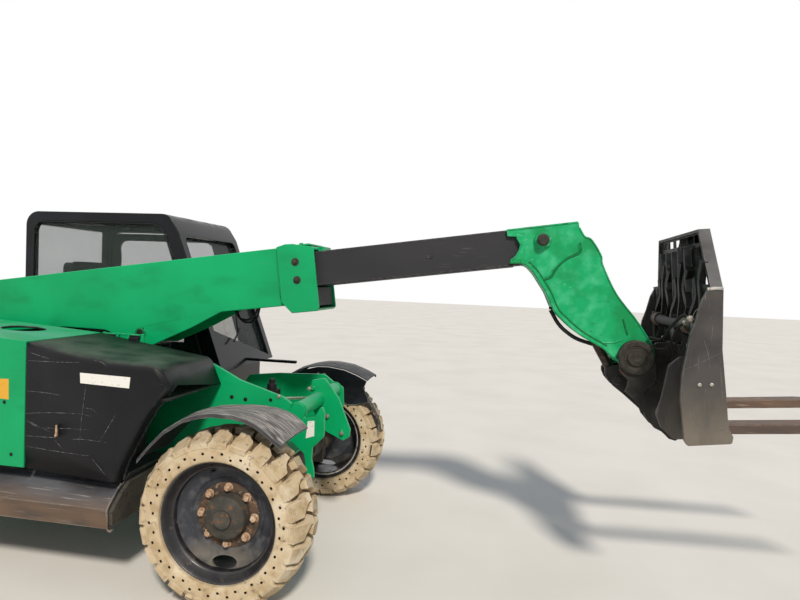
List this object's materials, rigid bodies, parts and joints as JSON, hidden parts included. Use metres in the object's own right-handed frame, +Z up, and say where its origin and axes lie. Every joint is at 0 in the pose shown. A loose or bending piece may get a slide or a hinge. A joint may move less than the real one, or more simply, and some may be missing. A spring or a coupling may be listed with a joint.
{
  "type": "telehandler",
  "caption": "Compact telehandler with a side engine, a cab beside a telescopic boom, all-wheel steering and pallet forks on a tilting carriage.",
  "frame": {"origin": "on the ground under the middle of the whole machine's bounding box", "axes": "+X forward towards the fork tips, +Y to the machine's left, +Z up"},
  "size_m": [6.3796, 1.84, 1.92],
  "materials": {
    "green_paint": "satin, scuffed",
    "dark_paint": "semi-matte dark paint",
    "fork_steel": "worn, rusting",
    "carriage_steel": "worn dark paint",
    "cast": "dull",
    "cylinder_rod": "polished",
    "cab_paint": "gloss dark",
    "black_plastic": "moulded, scuffed",
    "seat_cloth": "dark cloth",
    "clear_glass": "tinted",
    "tyre_rubber": "dusty",
    "hose_rubber": "matte",
    "rim_paint": "dusty"
  },
  "bodies": {
    "chassis": {"chassis_frame": "green_paint", "front_cross_member": "green_paint", "sill_right": "dark_paint", "tank_left": "dark_paint", "engine_block": "cast", "rear_hood": "green_paint", "filler_cap": "black_plastic", "rear_casing_right": "green_paint", "rear_casing_left": "green_paint", "ballast": "dark_paint", "cab_frame": "cab_paint", "cab_floor": "cab_paint", "cab_glass": "clear_glass", "seat": "seat_cloth", "dash_console": "black_plastic", "front_axle": "cast", "rear_axle": "cast"},
    "engine_lid": {"engine_cover": "black_plastic"},
    "door": {"cab_door": "cab_paint", "door_glass": "clear_glass"},
    "boom": {"boom_outer": "green_paint"},
    "extension": {"boom_inner": "dark_paint", "boom_head": "green_paint", "head_hose": "hose_rubber"},
    "lift_cylinder": {"lift_barrel": "dark_paint"},
    "lift_piston": {"lift_rod": "cylinder_rod"},
    "tilt_cylinder": {"tilt_barrel": "dark_paint"},
    "tilt_piston": {"tilt_rod": "cylinder_rod"},
    "fork_carriage": {"hitch": "carriage_steel", "carriage": "carriage_steel", "load_guard": "carriage_steel", "forks": "fork_steel"},
    "steer_front_left": {"knuckle_front_left": "cast", "mudguard_left": "black_plastic"},
    "wheel_front_left": {"tyre_front_left": "tyre_rubber", "rim_front_left": "rim_paint"},
    "steer_front_right": {"knuckle_front_right": "cast", "mudguard_right": "black_plastic"},
    "wheel_front_right": {"tyre_front_right": "tyre_rubber", "rim_front_right": "rim_paint"},
    "steer_rear_left": {"knuckle_rear_left": "cast"},
    "wheel_rear_left": {"tyre_rear_left": "tyre_rubber", "rim_rear_left": "rim_paint"},
    "steer_rear_right": {"knuckle_rear_right": "cast"},
    "wheel_rear_right": {"tyre_rear_right": "tyre_rubber", "rim_rear_right": "rim_paint"}
  },
  "joints": [
    {"name": "boom_lift", "type": "hinge", "parent": "chassis", "child": "boom", "pos_m": [-2.93979, -0.1, 1.12], "axis": [0, -1, 0], "range_deg": [-7.6, 56]},
    {"name": "boom_extend", "type": "slide", "parent": "boom", "child": "extension", "axis": [0.9907, 0, 0.1357], "range_m": [-0.95, 0.85]},
    {"name": "carriage_tilt", "type": "hinge", "parent": "extension", "child": "fork_carriage", "pos_m": [1.70147, -0.1, 1.22082], "axis": [0, -1, 0], "range_deg": [-95, 15]},
    {"name": "lift_cylinder_swing", "type": "hinge", "parent": "chassis", "child": "lift_cylinder", "pos_m": [-2.54979, -0.1, 0.655], "axis": [0, -1, 0], "range_deg": [-7.46, 54.99]},
    {"name": "lift_piston_stroke", "type": "slide", "parent": "lift_cylinder", "child": "lift_piston", "axis": [0.9433, 0, 0.3319], "range_m": [-0.0798, 0.5877]},
    {"name": "tilt_cylinder_swing", "type": "hinge", "parent": "extension", "child": "tilt_cylinder", "pos_m": [1.22561, -0.1, 1.79152], "axis": [0, -1, 0], "range_deg": [-0.3, 1.9]},
    {"name": "tilt_piston_stroke", "type": "slide", "parent": "tilt_cylinder", "child": "tilt_piston", "axis": [0.5021, 0, -0.8648], "range_m": [-0.2161, 0.0342]},
    {"name": "steer_front_left", "type": "hinge", "parent": "chassis", "child": "steer_front_left", "pos_m": [-0.18979, 0.56, 0.419], "axis": [0, 0, 1], "range_deg": [-33, 33]},
    {"name": "roll_front_left", "type": "hinge", "parent": "steer_front_left", "child": "wheel_front_left", "pos_m": [-0.18979, 0.77, 0.419], "axis": [0, 1, 0], "continuous": true},
    {"name": "steer_front_right", "type": "hinge", "parent": "chassis", "child": "steer_front_right", "pos_m": [-0.18979, -0.56, 0.419], "axis": [0, 0, 1], "range_deg": [-33, 33]},
    {"name": "roll_front_right", "type": "hinge", "parent": "steer_front_right", "child": "wheel_front_right", "pos_m": [-0.18979, -0.77, 0.419], "axis": [0, 1, 0], "continuous": true},
    {"name": "steer_rear_left", "type": "hinge", "parent": "chassis", "child": "steer_rear_left", "pos_m": [-2.58979, 0.56, 0.419], "axis": [0, 0, 1], "range_deg": [-33, 33]},
    {"name": "roll_rear_left", "type": "hinge", "parent": "steer_rear_left", "child": "wheel_rear_left", "pos_m": [-2.58979, 0.77, 0.419], "axis": [0, 1, 0], "continuous": true},
    {"name": "steer_rear_right", "type": "hinge", "parent": "chassis", "child": "steer_rear_right", "pos_m": [-2.58979, -0.56, 0.419], "axis": [0, 0, 1], "range_deg": [-33, 33]},
    {"name": "roll_rear_right", "type": "hinge", "parent": "steer_rear_right", "child": "wheel_rear_right", "pos_m": [-2.58979, -0.77, 0.419], "axis": [0, 1, 0], "continuous": true},
    {"name": "door_hinge", "type": "hinge", "parent": "chassis", "child": "door", "pos_m": [-2.03979, 0.905, 1.24], "axis": [0, 0, 1], "range_deg": [0, 100]},
    {"name": "engine_lid_hinge", "type": "hinge", "parent": "chassis", "child": "engine_lid", "pos_m": [-1.06679, -0.353, 1.19], "axis": [-1, 0, 0], "range_deg": [0, 65]}
  ],
  "couplings": [
    {"joint": "lift_cylinder_swing", "follows": "boom_lift", "ratio": 0.98},
    {"joint": "lift_piston_stroke", "follows": "boom_lift", "m_per_rad": 0.6},
    {"joint": "tilt_cylinder_swing", "follows": "carriage_tilt", "ratio": -0.02},
    {"joint": "tilt_piston_stroke", "follows": "carriage_tilt", "m_per_rad": 0.13},
    {"joint": "steer_front_right", "follows": "steer_front_left", "ratio": 1},
    {"joint": "steer_rear_left", "follows": "steer_front_left", "ratio": -1},
    {"joint": "steer_rear_right", "follows": "steer_front_left", "ratio": -1}
  ]
}
